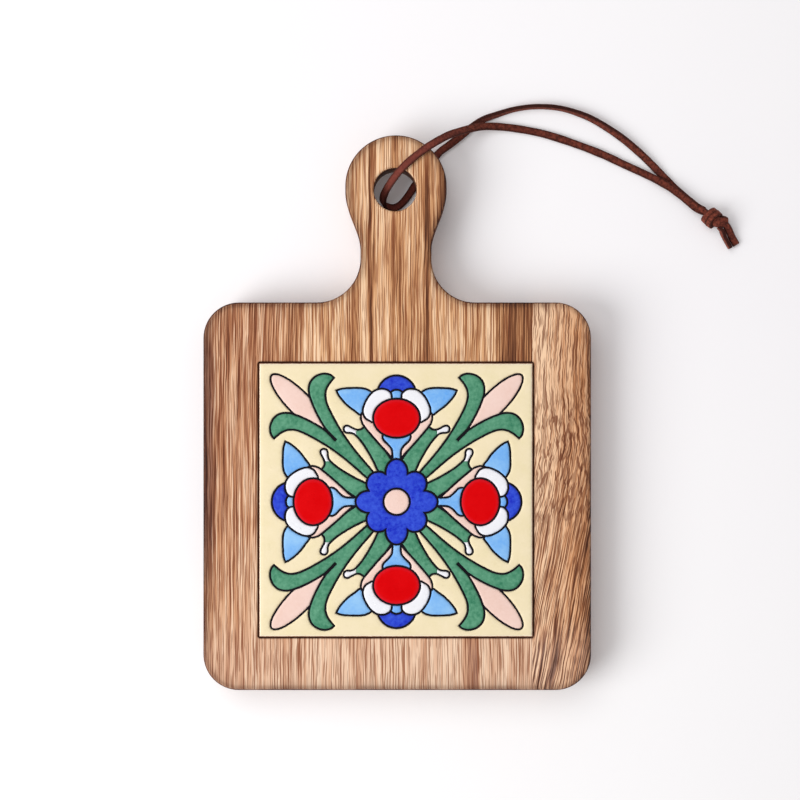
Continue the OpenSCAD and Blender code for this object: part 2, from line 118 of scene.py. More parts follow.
lace_route = [
    knot_face(-1, -0.3, 0.8) + [51, 84],
    [120.2, 82, 3.3, 51, 88], [117.4, 84.5, 2.6, 51, 90], [114.4, 87, 2.5, 51, 90],
    [111, 89.6, 2.4, 55, 90], [106.8, 92.2, 2.3, 60, 90], [102.6, 94.6, 1.5, 63, 90],
    [97.8, 97, 0.8, 65, 90], [91.4, 99.9, 0.8, 65, 90], [84.9, 103, 0.8, 66, 90],
    [78.2, 105.8, 0.8, 68, 90], [71.7, 108.2, 0.8, 70, 90], [65.3, 110.4, 0.8, 72, 90],
    [58.8, 112.3, 0.8, 75, 90], [52.7, 113.6, 0.8, 79, 90], [46.2, 114.6, 1, 84, 88],
    [39.7, 115.1, 1.8, 80, 82], [34.2, 114.8, 3.6, 60, 74], [29.1, 113.5, 6.6, 45, 62],
    [25, 111.9, 10.2, 35, 52], [20.9, 110.1, 13.8, 30, 52], [17.4, 108, 16.6, 32, 66],
    [14.5, 106.2, 17.9, 40, 82], [11.4, 104.2, 18.2, 50, 90], [8.3, 101.9, 18.2, 50, 90],
    [5.1, 99.3, 18.2, 50, 90], [2.5, 96.9, 18, 228, 84], [0.4, 94.7, 17.1, 228, 68],
    [-1.6, 92.3, 15.2, 228, 50], [-3.3, 90.1, 12.6, 230, 38], [-4.7, 88, 9.8, 230, 28],
    [-5.6, 86, 6.9, 228, 14], [-5.7, 84.4, 4.3, 226, -6], [-4.9, 83.2, 2.2, 225, -42],
    [-3.2, 82.6, 1, 225, -76], [-1, 82.5, 0.8, 225, -90], [1.5, 83.9, 0.8, 225, -90],
    [4.1, 86.9, 0.8, 225, -90], [6.9, 91.1, 0.8, 225, -90], [10.2, 96, 0.8, 225, -90],
    [13.6, 100.6, 0.8, 225, -90], [17, 104.8, 0.8, 225, -90], [21, 107.8, 0.9, 130, -82],
    [25.2, 111, 1.3, 128, -66], [29.6, 114.6, 1.5, 125, -50], [34.3, 117.8, 1.6, 120, -34],
    [39.8, 119.8, 1.7, 112, -22], [46.2, 121.8, 1.7, 105, -14], [52.7, 122.9, 1.7, 98, -10],
    [58.8, 123.1, 1.7, 90, -10], [65.3, 122.5, 1.7, 80, -12], [71.7, 120.8, 1.7, 72, -18],
    [78.2, 118.2, 1.7, 65, -28], [84.9, 114.3, 1.6, 58, -38], [91.4, 109.8, 1.5, 53, -50],
    [97.8, 104.4, 1.2, 48, -66], [101.9, 100.5, 1, 46, -78], [106, 96.3, 0.8, 45, -90],
    [109.4, 92.8, 0.8, 47, -90], [112.2, 90, 0.8, 49, -90], [115, 87.6, 0.8, 51, -90],
    [117.9, 85.1, 0.9, 51, -90], [120.6, 82.8, 1.6, 51, -88],
    knot_face(-1, 0.3, -0.8) + [51, -84]]
print("lace rows:", len(lace_route))

# %% [markdown]
# A smooth curve goes through all the rows. One of Blender's curves could be sampled for it, but the formula is
# short: each stretch is bent by the rows before and after it, and the facing is smoothed in the same way.

# %% Smooth routes
def looking(azimuth, height):
    """The direction with that angle about the upright and that height, in degrees."""
    a, h = radians(azimuth), radians(height)
    return Vector((cos(a) * cos(h), sin(a) * cos(h), sin(h)))


def smooth_between(rows, steps):
    """A curve through all the rows, with so many steps between each two."""
    out = []
    for i in range(len(rows) - 1):
        a, b, c, d = (rows[max(0, min(len(rows) - 1, i + k))] for k in (-1, 0, 1, 2))
        for s in range(steps):
            t = s / steps
            out.append((2 * b + (c - a) * t + (2 * a - 5 * b + 4 * c - d) * t * t
                        + (3 * b - a - 3 * c + d) * t ** 3) / 2)
    return out + [rows[-1]]


def along_route(rows, steps):
    """A smooth line through the rows, and the way the strip's outer face looks at each of its points."""
    return (smooth_between([Vector(r[:3]) for r in rows], steps),
            smooth_between([looking(r[3], r[4]) for r in rows], steps))


lace_line, lace_faces = along_route(lace_route, 4)

# %% [markdown]
# Most pieces here are stacks of rings: a ring of points is moved along a route or upward, and faces join each
# ring to the next. Three helpers do that, so that each piece only has to say where its rings are.

# %% From rings to a piece
def round_points(r, steps):
    """So many points on a circle."""
    return [(r * cos(a), r * sin(a)) for a in (2 * pi * k / steps for k in range(steps))]


def join_rings(mesh, rings, capped=False):
    """Joins each ring to the next, where a ring of one point is a tip, and closes the ends if asked."""
    for a, b in zip(rings, rings[1:]):
        n = max(len(a), len(b))
        for k in range(n):
            m = (k + 1) % n
            mesh.faces.new(list(dict.fromkeys((a[k % len(a)], a[m % len(a)], b[m % len(b)], b[k % len(b)]))))
    if capped:
        mesh.faces.new(rings[0][::-1])
        mesh.faces.new(rings[-1])
        bmesh.ops.recalc_face_normals(mesh, faces=mesh.faces)


def piece_from(mesh, name, smooth_corners=0, sharp_degrees=None):
    """The mesh as an object. Faces with at most so many corners are shaded smooth."""
    data = bpy.data.meshes.new(name)
    mesh.to_mesh(data)
    mesh.free()
    for face in data.polygons:
        face.use_smooth = len(face.vertices) <= smooth_corners
    if sharp_degrees:
        data.set_sharp_from_angle(angle=radians(sharp_degrees))
    return new_object(name, data)


print("corners of a ring of four:", [(round(x), round(y)) for x, y in round_points(1, 4)])

# %% [markdown]
# The strip's cross-section is a rectangle with soft corners. It is a little narrower or thicker from place to
# place, because suede lace is cut with a loose blade and swells. Where it would sink into the table, it is
# pressed flat on it.

# %% Sweeping the lace
lace_width, lace_thickness, lace_swell = 3.0, 1.5, 0.06
table_gap = 0.02


def strip_section(width, thickness, corner=0.42, steps=3, on_flat=0.17):
    """A rectangle with soft corners: places across and through the strip, and how near a cut side each is, which
    darkens it as cut leather and as painted shade.
    """
    out = []
    for k, (sx, sy) in enumerate([(1, 1), (-1, 1), (-1, -1), (1, -1)]):
        for s in range(steps + 1):
            a = radians(90 * (k + s / steps))
            out.append((sx * (width / 2 - corner) + corner * cos(a),
                        sy * (thickness / 2 - corner) + corner * sin(a), 0.55 + 0.45 * abs(cos(a))))
        if sx * sy > 0:
            out += [(sx * turn * on_flat * width, sy * thickness / 2, 0) for turn in (1, -1)]
    return out


def sweep_strip(name, centres, faces, width=lace_width, thickness=lace_thickness):
    """A flat strip along the centres, in mm, whose outer face looks in the given directions."""
    mesh = bmesh.new()
    cut_side_and_crease_shade = mesh.verts.layers.float.new("cut_side_and_crease_shade")
    rings = []
    for i, here in enumerate(centres):
        way = (centres[min(i + 1, len(centres) - 1)] - centres[max(i - 1, 0)]).normalized()
        side = way.cross(faces[i]).normalized()
        out = side.cross(way)
        wider, thicker = (1 + lace_swell * noise.noise(here * often) for often in (0.35, 0.5))
        ring = []
        for u, v, edge in strip_section(width * wider, thickness * thicker):
            spot = here + side * u + out * v
            spot.z = max(spot.z, table_gap)
            ring.append(mesh.verts.new(spot * MM))
            ring[-1][cut_side_and_crease_shade] = edge
        rings.append(ring)
    join_rings(mesh, rings, capped=True)
    return piece_from(mesh, name, smooth_corners=4)


lace = sweep_strip("suede_lace", lace_line, lace_faces)
print("lace faces:", len(lace.data.polygons))

# %% [markdown]
# The knot is an overhand knot in both strands at once. A lump with grooves would do from far away, but the
# crossings show in the photograph, so each strand really goes through an overhand path: in along the axis,
# round the far end, back underneath, up and over the near end as a wrap, and out through its own loop. The
# two wraps lie side by side. A small heart of pressed suede closes the hollow in the middle.

# %% Tying the knot
# Each row: along the axis, across it and up, in mm from the knot's middle, then the way the strip's face looks
knot_routes = {
    "knot_upper": [
        [-5.6, -0.3, 0.75, 0, 0, 1], [-3.6, -0.3, 0.9, 0, 0, 1], [-1.2, 0.0, 0.9, 0, 0, 1], [1.2, 0.7, 1.1, 0, 0, 1],
        [3.0, 1.8, 1.2, 0.2, 0.3, 0.9], [4.2, 2.7, 0.2, 0.7, 0.7, 0.1], [3.4, 3.0, -1.2, 0.4, 0.8, -0.5],
        [1.8, 2.3, -2.2, 0.1, 0.6, -0.8], [0.0, 0.6, -2.7, 0, 0.1, -1], [-1.4, -1.6, -2.4, -0.1, -0.6, -0.8],
        [-2.5, -3.0, -0.6, -0.1, -1, -0.2], [-3.3, -2.4, 1.6, -0.3, -0.8, 0.6], [-3.4, -0.6, 2.7, -0.3, -0.2, 1],
        [-2.9, 1.4, 2.5, -0.2, 0.5, 0.9], [-2.0, 2.9, 0.9, 0, 1, 0.2], [-0.8, 2.6, -1.2, 0, 0.8, -0.6],
        [1.0, 1.2, -1.5, 0, 0.4, -0.9], [3.0, 0.3, -0.7, 0, 0, -1], [4.4, 0.9, 0.1, 0.3, 0, 0.8]],
    "knot_lower": [
        [-5.6, 0.3, -0.75, 0, 0, 1], [-3.4, 0.2, -0.75, 0, 0, 1], [-0.8, 0.2, -0.7, 0, 0, 1], [1.6, 0.4, 0.0, 0, 0, 1],
        [3.6, 0.5, 1.1, 0.5, -0.2, 0.9], [4.6, 1.4, -0.2, 0.9, 0.3, 0.1], [4.0, 1.8, -1.8, 0.4, 0.5, -0.8],
        [2.4, 0.6, -2.6, 0, 0.2, -1], [1.0, -1.2, -2.5, 0, -0.4, -0.9], [0.3, -2.9, -1.1, 0.1, -0.9, -0.4],
        [-0.6, -3.1, 0.7, -0.1, -1, 0.4], [-1.4, -1.7, 2.5, -0.1, -0.5, 0.9], [-1.6, 0.2, 3.0, -0.1, 0, 1],
        [-1.0, 2.1, 2.3, 0.1, 0.7, 0.7], [0.0, 3.1, 0.3, 0.2, 1, 0], [1.2, 2.4, -1.2, 0.2, 0.8, -0.6],
        [2.6, 0.4, -1.0, 0, -0.4, -0.8], [4.4, -1.2, -0.1, 0.1, -1, 0.1]]}


knot_steps, knot_width, knot_thickness = 6, 2.5, 1.4
knot_pieces = []
for name, rows in knot_routes.items():
    line = smooth_between([in_knot(*r[:3]) for r in rows], knot_steps)
    face = smooth_between([Vector(r[3:]) for r in rows], knot_steps)
    looks = [(along_knot * f.x + across_knot * f.y + Vector((0, 0, f.z))).normalized() for f in face]
    knot_pieces.append(sweep_strip(name, line, looks, knot_width, knot_thickness))

heart_length, heart_radius, heart_steps, heart_sides = 8.0, 2.3, 14, 20
heart = bmesh.new()
rings = []
for turn in (pi * i / heart_steps for i in range(1, heart_steps)):
    u, r = -heart_length / 2 * cos(turn), heart_radius * sin(turn) ** 0.7
    rings.append([heart.verts.new(in_knot(u, v, w) * MM) for v, w in round_points(r, heart_sides)])
join_rings(heart, rings, capped=True)
knot_pieces.append(piece_from(heart, "knot_heart"))
print("knot pieces:", [p.name for p in knot_pieces])

# %% [markdown]
# Past the knot both ends stand out a little way. One lies with its wide face up and the other on its cut side,
# as they leave a knot that has turned them. They are swept like the lace, on short routes of their own.

# %% The two short ends
tail_routes = {
    "tail_wide": [knot_face(0.6, 0.9, 0.1) + [51, 90], knot_face(1, 1.1, 0.2) + [51, 90],
                  [133.6, 72.7, 2.4, 42, 88], [135, 70.1, 1.4, 38, 86], [136.6, 67.6, 0.8, 38, 90]],
    "tail_on_edge": [knot_face(0.6, -1.2, 0) + [231, 4], knot_face(1, -1.6, 0) + [231, 4],
                     [131.2, 71.1, 2.6, 218, 4], [132.6, 68.7, 2, 216, 4], [134.1, 66.2, 1.6, 216, 4]]}
tails = [sweep_strip(name, *along_route(rows, 5)) for name, rows in tail_routes.items()]
print("tails:", [t.name for t in tails])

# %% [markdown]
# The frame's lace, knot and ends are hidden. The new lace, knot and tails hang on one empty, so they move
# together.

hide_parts("lace_loop")
for piece in knot_pieces:
    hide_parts("knot")
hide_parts("tail_1")
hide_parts("tail_2")
for piece in [lace] + knot_pieces + tails:
    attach(piece, "lace")
print("lace declared, with", len(knot_pieces + tails), "pieces on it")

# %% [markdown]
# The board is cut from one outline: a square body with round corners, shoulders, a neck, and a round head.
# The outline is a function of how far it is moved inward, so the rounded edge is a stack of such outlines.
# The top is filled round its two openings, the pocket for the tile and the hanging hole.

# %% The board's outline
body_width, body_length, handle_length = 153.0, 153.0, 66.0
board_low, board_top = 2.0, 17.0
corner_radius, edge_round = 14.0, 1.2
head_width, neck_width, shoulder_radius, neck_run, handle_middle = 40.0, 28.0, 17.3, 2.7, -0.5
top_y = (body_length + handle_length) / 2
shoulder_y = top_y - handle_length
bottom_y = -top_y
corner_steps, flare_steps, head_steps, hole_sides = 16, 24, 32, 72
flare_top = 1.12  # the flare meets the head so many head radii below its top
hole_middle, hole_radius, hole_round = Vector((-0.8, top_y - 21.5)), 8.5, 0.8
tile_middle, tile_width, tile_gap = Vector((-0.5, shoulder_y - body_length / 2 - 1.4)), 108.0, 0.5
pocket_floor = 10.95
seam_x = body_width / 2 - 23.2


def arc(x, y, r, a, b, steps):
    """Points on an arc from angle a to b, in degrees."""
    return [(x + r * cos(radians(a + (b - a) * i / steps)),
             y + r * sin(radians(a + (b - a) * i / steps))) for i in range(steps + 1)]


def outline(inward):
    """The board's outline, moved inward by so many mm, counterclockwise from the bottom right."""
    x = body_width / 2 - corner_radius
    body = arc(x, bottom_y + corner_radius, corner_radius - inward, -90, 0, corner_steps)
    body += arc(x, shoulder_y - corner_radius, corner_radius - inward, 0, 90, corner_steps)
    side = arc(neck_width / 2 + shoulder_radius, shoulder_y + shoulder_radius, shoulder_radius + inward,
               -90, -180, corner_steps)
    low, high = shoulder_y + shoulder_radius + neck_run, top_y - head_width / 2 * flare_top
    for i in range(1, flare_steps + 1):
        rise = (1 - cos(pi * i / flare_steps)) / 2
        side.append((neck_width / 2 + (head_width - neck_width) / 2 * rise - inward,
                     low + (high - low) * i / flare_steps))
    side += arc(0, top_y - head_width / 2, head_width / 2 - inward, 0, 90, head_steps)[:-1]
    handle = side + [(0, top_y - inward)] + [(-px, py) for px, py in side[::-1]]
    return body + [(px + handle_middle, py) for px, py in handle] + [(-px, py) for px, py in body[::-1]]


def soft_square(side, r, middle):
    """A square with round corners, counterclockwise."""
    c, out = side / 2 - r, []
    for k, (sx, sy) in enumerate([(1, 1), (-1, 1), (-1, -1), (1, -1)]):
        out += arc(middle.x + sx * c, middle.y + sy * c, r, 90 * k, 90 * k + 90, 6)
    return out


print("outline points:", len(outline(0)))

# %% [markdown]
# A flat face with openings needs to be cut into triangles. Blender can fill an outline in one step, but here
# some faces also carry extra points inside. So a net of triangles is laid over all the points, with the
# outlines as fixed edges, and the triangles outside the board or in its openings are dropped.

# %% Filling between outlines
def inside(points, loops):
    """Which points lie inside an odd number of the loops."""
    segments = np.array([(a[0], a[1], b[0], b[1]) for loop in loops for a, b in zip(loop, loop[1:] + loop[:1])])
    result = np.zeros(len(points), bool)
    rows = np.floor(points[:, 1]).astype(int)
    low, high = np.minimum(segments[:, 1], segments[:, 3]), np.maximum(segments[:, 1], segments[:, 3])
    for row in np.unique(rows):
        near = segments[(high >= row) & (low <= row + 1)]
        which = np.nonzero(rows == row)[0]
        if not len(near):
            continue
        x, y = points[which, 0][:, None], points[which, 1][:, None]
        spans = (near[:, 1] > y) != (near[:, 3] > y)
        with np.errstate(divide="ignore", invalid="ignore"):
            cross = near[:, 0] + (y - near[:, 1]) * (near[:, 2] - near[:, 0]) / (near[:, 3] - near[:, 1])
        result[which] = (spans & (x < cross)).sum(axis=1) % 2 == 1
    return result


def net_between(loops, more_loops=(), loose=()):
    """Triangles inside the loops, over all the given points: the spots, the faces, and which point each spot was."""
    points, edges = [], []
    for loop in [*loops, *more_loops]:
        first = len(points)
        points += [Vector(p) for p in loop]
        edges += [(first + k, first + (k + 1) % len(loop)) for k in range(len(loop))]
    spots, _, faces, origins, _, _ = geometry.delaunay_2d_cdt(points + list(loose), edges, [], 0, 1e-5)
    centres = np.array([[sum(spots[i].x for i in f) / 3, sum(spots[i].y for i in f) / 3] for f in faces])
    return spots, [f for f, good in zip(faces, inside(centres, loops)) if good], origins


print("triangles in the plain outline:", len(net_between([outline(0)])[1]))

# %% [markdown]
# Oven-toasted wood is darker at its edges. A shader can't measure how far it is from the outline, so each
# vertex carries that as a number for toast: 1 on the edge and 0 in the middle. For this the flat top has
# a few extra outlines, each further in, and the number fades across them. The walls of the hanging hole and
# of the pocket carry the same number as painted shade, for the shade inside them.

# %% Building the board
# The hole's value darkens its wall with painted shade as well as toast.
edge_toast, ridge_toast, hole_shade_and_toast = 0.55, 1.0, 0.9  # soft on the two rims, strongest between them


def circle(r):
    """A circle about the middle of the hanging hole."""
    return [(hole_middle.x + x, hole_middle.y + y) for x, y in round_points(r, hole_sides)]


def build_board():
    """The whole board as one mesh, with its numbers for toast and for painted shade."""
    mesh = bmesh.new()
    toast_and_shade = mesh.verts.layers.float.new("toast_and_shade")

    def vertex(x, y, z, amount):
        v = mesh.verts.new((x * MM, y * MM, z * MM))
        v[toast_and_shade] = amount
        return v

    def stack(shapes):
        """A wall from rings, each with its outline, height and darkening number, which stands for toast and, in the
        hole and the pocket, for painted shade. Gives back its two ends.
        """
        rings = [[vertex(x, y, z, amount) for x, y in points] for points, z, amount in shapes]
        join_rings(mesh, rings)
        return rings[0], rings[-1]

    def fill(loops, z, soft_rings=()):
        """Fills between the loops; the soft rings, each a shape and an amount, only carry the fading toast."""
        known = [v for loop in loops for v in loop]
        amounts = [v[toast_and_shade] for v in known] + [amount for shape, amount in soft_rings for _ in shape]
        spots, faces, origins = net_between([[(v.co.x / MM, v.co.y / MM) for v in loop] for loop in loops],
                                            [shape for shape, amount in soft_rings])
        verts = []
        for spot, origin in zip(spots, origins):
            if origin and origin[0] < len(known):
                verts.append(known[origin[0]])
            else:
                verts.append(vertex(spot.x, spot.y, z, amounts[origin[0]] if origin else 0))
        for f in faces:
            mesh.faces.new([verts[i] for i in f])

    rounding = [radians(90 * i / 6) for i in range(7)]
    rise = [(edge_round * (1 - sin(t)), edge_round * (1 - cos(t))) for t in rounding]
    low, high = stack([(outline(d), board_low + h, edge_toast) for d, h in rise]
                      + [(outline(d), board_top - h, edge_toast if h < 0.35 or h > 1.1 else ridge_toast)
                         for d, h in rise[::-1]])
    rise = [(hole_radius + hole_round - hole_round * sin(t), hole_round * (1 - cos(t)))
            for t in rounding[::2]]
    # Inside the hole the wall gets painted shade besides toast, while its upper lip stays almost bare.
    hole_low, hole_high = stack([(circle(r), board_low + h, hole_shade_and_toast) for r, h in rise]
                                + [(circle(r), board_top - h, 1.0 - 0.95 * (h < 0.5)) for r, h in rise[::-1]])
    pocket = tile_width + 2 * tile_gap
    # The pocket's wall is darkened fully, as painted shade for the gap round the tile.
    wall_low, wall_high = stack([(soft_square(pocket, 1.1, tile_middle), pocket_floor, 1.0),
                                 (soft_square(pocket, 1.1, tile_middle), board_top - 0.2, 0.7),
                                 (soft_square(pocket + 0.3, 1.25, tile_middle), board_top, edge_toast)])
    fades = [(outline(edge_round + inward), amount) for inward, amount in
             [(0.5, 0.42), (1.3, 0.2), (3.0, 0.07), (6.0, 0.0)]]
    fades += [(soft_square(pocket + 1.1, 1.6, tile_middle), 0.0), (circle(hole_radius + hole_round + 0.6), 0.0)]
    fill([high, wall_high, hole_high], board_top, fades)
    fill([low, hole_low], board_low)
    fill([wall_low], pocket_floor)
    bmesh.ops.recalc_face_normals(mesh, faces=mesh.faces)
    return mesh


def on_board(piece, node):
    """The piece rides on the board and stands in for a node of the frame, which it hides."""
    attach(piece, "board")
    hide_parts(node)
    return piece


def part_of_board(name, keep_right):
    """The board on one side of the glue line, with the cut closed."""
    mesh = build_board()
    cut = bmesh.ops.bisect_plane(
        mesh, geom=mesh.verts[:] + mesh.edges[:] + mesh.faces[:], dist=1e-7, plane_co=(seam_x * MM, 0, 0),
        plane_no=(1, 0, 0), clear_inner=keep_right, clear_outer=not keep_right)
    rim = [e for e in cut["geom_cut"] if isinstance(e, bmesh.types.BMEdge)]
    bmesh.ops.triangle_fill(mesh, use_beauty=True, use_dissolve=False, edges=rim)
    return piece_from(mesh, name, smooth_corners=5, sharp_degrees=38)  # a cut face has up to five corners


plank = on_board(part_of_board("plank", False), "main_plank")
stave = on_board(part_of_board("edge_strip", True), "side_stave")
print("board faces:", len(plank.data.polygons), len(stave.data.polygons))

# %% [markdown]
# Each colour of glaze is a shallow pool that swells between its dark lines. The frame's pools are flat slabs
# with the right outlines, so each outline is read from its slab: an edge of the slab's top that only one
# triangle uses, in one direction, is on the rim, and such edges are walked round until they close.

# %% Reading a slab's outline
def rim_of(node):
    """Closed outlines of a flat slab's top, in mm, and the height of that top."""
    data = nodes[node].data
    top = max(v.co.z for v in data.vertices)
    spot = {v.index: (round(v.co.x / MM, 4), round(v.co.y / MM, 4)) for v in data.vertices}
    ways = set()
    for face in data.polygons:
        if all(abs(data.vertices[i].co.z - top) < 2e-6 for i in face.vertices):
            ids = [spot[i] for i in face.vertices]
            ways.update(zip(ids, ids[1:] + ids[:1]))
    following = {a: b for a, b in sorted(ways) if (b, a) not in ways and a != b}
    loops = []
    while following:
        first, at = next(iter(following.items()))
        del following[first]
        loop = [first]
        while at != first and at in following:
            loop.append(at)
            at = following.pop(at)
        if len(loop) > 5:
            loops.append(loop)
    return loops, top / MM


cream_rim, glaze_top = rim_of("glaze_cream")
glaze_ground = glaze_top - 0.5
print("cream outlines:", len(cream_rim), "glaze top in mm:", round(glaze_top, 2))

# %% [markdown]
# An outline is then filled with a fine net of triangles and raised by how far a point lies from the nearest
# line: steep at the rim, then almost flat, like a drop. A bevel would make the same rim everywhere, while this
# also lets narrow pools stay lower than wide ones.

# %% Raising a pool
# All in mm: how long a stretch of rim may be, how far the hand shakes, how wide the steep rim is, and how far
# in the first points stand
edge_step, hand_shake, steep_rim, steps_in = 0.45, 0.07, 0.55, (0.1, 0.26, 0.5)
row_height = 0.866  # rows of triangles with equal sides are so much closer than their points


def refined(loop):
    """The same outline in short stretches, drawn by a slightly unsteady hand."""
    out = []
    for a, b in zip(loop, loop[1:] + loop[:1]):
        a, b = Vector(a), Vector(b)
        n = max(1, ceil((b - a).length / edge_step))
        for k in range(n):
            p = a.lerp(b, k / n)
            shake = noise.noise_vector(Vector((p.x * 0.9, p.y * 0.9, 3.0))) * hand_shake
            out.append((p.x + shake.x, p.y + shake.y))
    return out


def net_points(loops, spacing, tree):
    """Points inside the loops: three rows along each rim, and an even field beyond them."""
    corner = np.array([p for loop in loops for p in loop])
    low, high = corner.min(axis=0), corner.max(axis=0)
    inner = []
    for j in range(int((high[1] - low[1]) / (spacing * row_height)) + 1):
        for i in range(int((high[0] - low[0]) / spacing) + 2):
            inner.append((low[0] + (i + 0.5 * (j % 2)) * spacing, low[1] + j * spacing * row_height))
    for loop in loops:
        for k, p in enumerate(loop):
            a, b = Vector(loop[k - 1]), Vector(loop[(k + 1) % len(loop)])
            if (b - a).length < 1e-6:
                continue
            normal = Vector((a.y - b.y, b.x - a.x)).normalized()
            inner += [(p[0] + normal.x * s, p[1] + normal.y * s) for s in steps_in]
    inner = np.array(inner)
    wanted, used = [], set()
    for x, y in inner[inside(inner, loops)]:
        far = tree.find((x, y, 0))[2]
        on_row = any(abs(far - s) < 0.03 for s in steps_in)
        cell = (round(x / 0.22), round(y / 0.22))
        if (on_row or far > 0.8) and cell not in used:
            used.add(cell)
            wanted.append(Vector((x, y)))
    return wanted


def pool(name, node, spacing):
    """All pools of one colour, raised from their outlines. Each vertex notes how deep in the pool it stands."""
    loops = [refined(loop) for loop in rim_of(node)[0]]
    dense = [Vector(a).lerp(Vector(b), k / 4) for loop in loops for a, b in zip(loop, loop[1:] + loop[:1])
             for k in range(4)]
    tree = kdtree.KDTree(len(dense))
    for i, p in enumerate(dense):
        tree.insert((p.x, p.y, 0), i)
    tree.balance()
    spots, faces, _ = net_between(loops, loose=net_points(loops, spacing, tree))
    mesh = bmesh.new()
    depth = mesh.verts.layers.float.new("depth")
    verts = {}
    for i in sorted({i for f in faces for i in f}):
        p = spots[i]
        far = tree.find((p.x, p.y, 0))[2]
        steep = sqrt(max(0, 1 - (1 - min(far / steep_rim, 1)) ** 2))
        crown = min(far / 4, 1)
        ripple = 0.04 * noise.noise(Vector((p.x * 0.35, p.y * 0.35, 7.0)))
        height = glaze_ground + (glaze_top - glaze_ground) * min(1, steep * (0.86 + 0.1 * crown + ripple))
        verts[i] = mesh.verts.new((p.x * MM, p.y * MM, height * MM))
        verts[i][depth] = min(far / 1.2, 1)
    for f in faces:
        face = mesh.faces.new([verts[i] for i in f])
        face.normal_update()
        if face.normal.z < 0:
            face.normal_flip()
    return on_board(piece_from(mesh, name, smooth_corners=3), node)


colours = ["cream", "green", "red", "cobalt", "sky", "white", "blush"]
pools = {c: pool(f"pool_{c}", f"glaze_{c}", 1.4 if c == "cream" else 0.9) for c in colours}
print("pool faces:", {c: len(p.data.polygons) for c, p in pools.items()})

# %% [markdown]
# The cream field runs to the tile's edge, where the real glaze thins out over a soft arris. A narrow band
# of glaze closes that side, so that the pool doesn't end in the air above the clay.

# %% The cream field's outer edge
outer = refined(max(cream_rim, key=lambda loop: max(p[0] for p in loop) - min(p[0] for p in loop)))
clay_top = glaze_ground - 0.15
band = bmesh.new()
high, low = ([band.verts.new((x * MM, y * MM, z * MM)) for x, y in outer] for z in (glaze_ground, clay_top))
join_rings(band, [low, high])
cream_edge = piece_from(band, "pool_cream_edge")
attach(cream_edge, "board")
print("edge band in mm:", round(glaze_ground - clay_top, 2))

# %% [markdown]
# The feet are small clear bumpers, stuck on. A cylinder would look like a coin, so each is turned from a
# profile with a rounded shoulder and a slightly hollow bottom, as moulded silicone bumpers have.

# %% Feet
def bumper(name, node):
    """A foot of its node's size. The profile is in shares of its radius and its height."""
    low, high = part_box(node)
    x, y = (low[0] + high[0]) / 2, (low[1] + high[1]) / 2
    r, h = (high[0] - low[0]) / 2, high[2] - low[2]
    profile = [(0, 0.08 * h), (0.3 * r, 0.05 * h), (0.5 * r, 0), (0.66 * r, 0)]
    profile += [(0.66 * r + 0.34 * r * sin(radians(a)), 0.62 * h * (1 - cos(radians(a))))
                for a in (20, 40, 60, 80, 90)]
    profile += [(r, 0.92 * h), (0.985 * r, h), (0, h)]
    mesh = bmesh.new()
    join_rings(mesh, [[mesh.verts.new((x + px, y + py, pz)) for px, py in (round_points(pr, 40) if pr else [(0, 0)])]
                      for pr, pz in profile])
    bmesh.ops.recalc_face_normals(mesh, faces=mesh.faces)
    return on_board(piece_from(mesh, name, smooth_corners=4, sharp_degrees=50), node)


bumpers = [bumper(f"bumper_{i}", f"foot_{i}") for i in (1, 2, 3, 4)]
print("bumpers:", len(bumpers))

# %% [markdown]
# Now the finishes. Colours are given as they look on a screen, and the shader wants them as amounts
# of light, so one helper turns the first into the second. The others keep the node code short.

# %% Helpers for materials
def paint(r, g, b):
    """A colour given as 0 to 255 on a screen, as the shader wants it."""
    shares = (c / 255 for c in (r, g, b))
    return tuple(c / 12.92 if c <= 0.04045 else ((c + 0.055) / 1.055) ** 2.4 for c in shares) + (1,)


